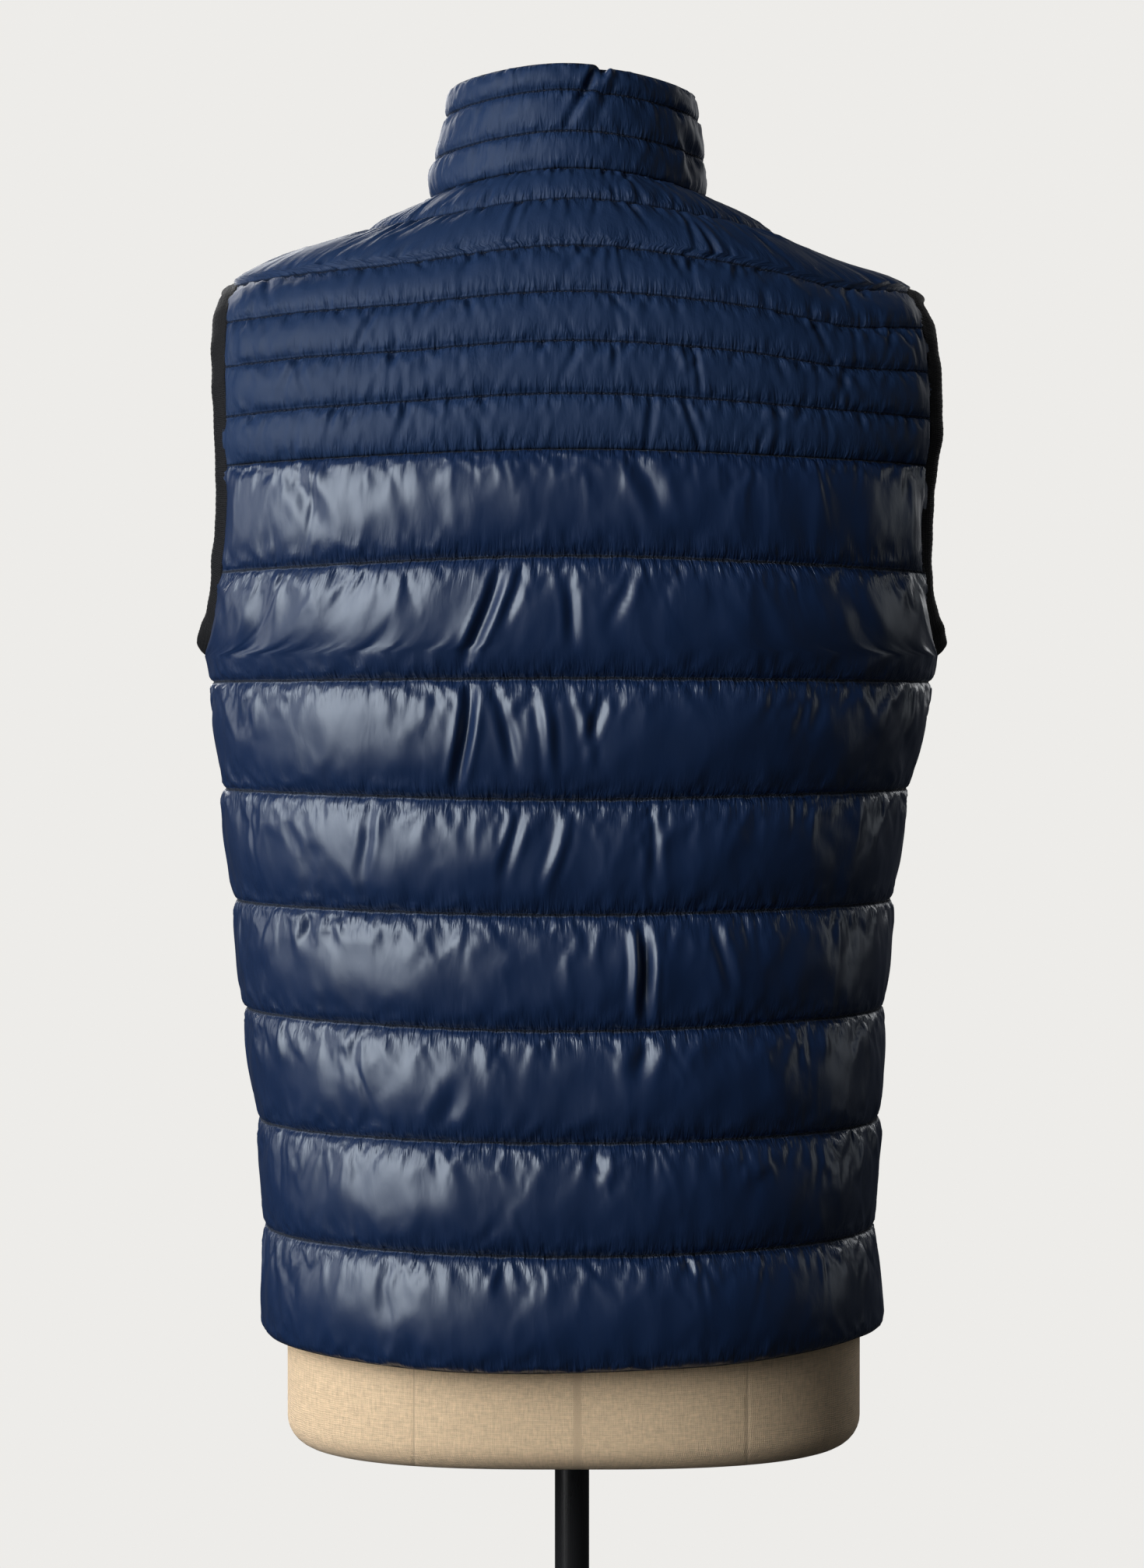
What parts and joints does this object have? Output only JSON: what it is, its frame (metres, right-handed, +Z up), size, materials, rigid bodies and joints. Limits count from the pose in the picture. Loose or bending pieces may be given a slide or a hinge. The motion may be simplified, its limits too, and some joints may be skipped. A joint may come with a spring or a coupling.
{
  "type": "quilted gilet on a dress form",
  "caption": "Sleeveless quilted puffer gilet with a stand collar, bound armholes and a closed front zip, worn by a limbless dress form on a pole stand.",
  "frame": {"origin": "centre of the object's box at floor level, on the axis of the stand's pole", "axes": "+Z up along the pole, +Y out of the gilet's back, +X towards the wearer's left"},
  "size_m": [0.4333, 0.38, 1.5863],
  "materials": {
    "gloss_nylon": "glossy down-proof nylon, navy",
    "satin_nylon": "satin nylon, navy",
    "rib_elastic": "ribbed elastic, near black",
    "zip_tape": "woven tape, dark navy",
    "zip_metal": "satin black enamel",
    "linen": "coarse natural linen",
    "black_steel": "satin black paint"
  },
  "bodies": {
    "root": {"back_body": "gloss_nylon", "front_body_left": "gloss_nylon", "front_body_right": "gloss_nylon", "back_yoke": "satin_nylon", "front_yoke_left": "satin_nylon", "front_yoke_right": "satin_nylon", "collar": "satin_nylon", "armhole_binding_left": "rib_elastic", "armhole_binding_right": "rib_elastic", "zip_tape_left": "zip_tape", "zip_tape_right": "zip_tape", "zip_slider": "zip_metal", "zip_box": "zip_metal", "dress_form": "linen", "stand_pole": "black_steel", "stand_foot": "black_steel"},
    "pull": {"zip_pull": "zip_metal"}
  },
  "joints": [
    {"name": "pull_swing", "type": "hinge", "parent": "root", "child": "pull", "pos_m": [0, -0.08761, 1.52336], "axis": [-1, 0, 0], "range_deg": [0, 150]}
  ]
}
